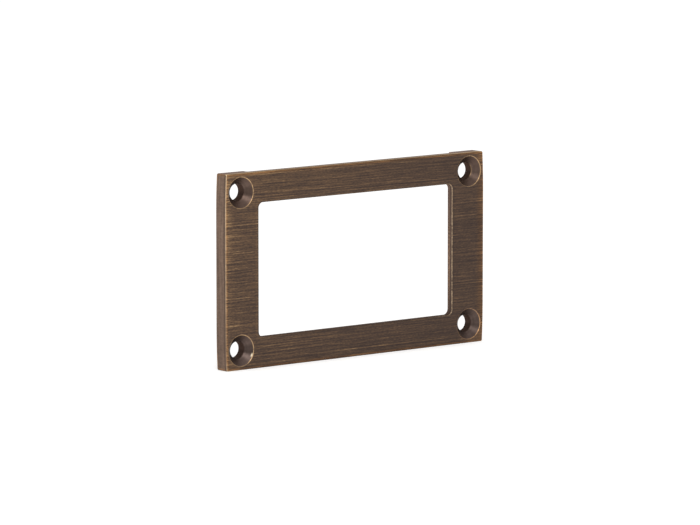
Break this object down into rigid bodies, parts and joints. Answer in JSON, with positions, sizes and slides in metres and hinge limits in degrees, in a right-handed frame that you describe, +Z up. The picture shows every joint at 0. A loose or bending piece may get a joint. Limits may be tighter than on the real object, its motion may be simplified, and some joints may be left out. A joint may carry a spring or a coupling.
{
  "type": "drawer label holder",
  "caption": "Flat brass frame with a rectangular window, a label recess at the back open at the top, and countersunk screw holes in its corners.",
  "frame": {"origin": "centre of the back face that lies on the drawer, midway between the four screw holes", "axes": "+X along the width, +Z up towards the open mouth of the label recess, -Y out of the front"},
  "size_m": [0.075, 0.0036, 0.044],
  "materials": {
    "antique_brass": "brushed, dark antique bronze patina worn back to brass on the front edges"
  },
  "bodies": {
    "root": {"label_plate": "antique_brass"}
  },
  "joints": []
}
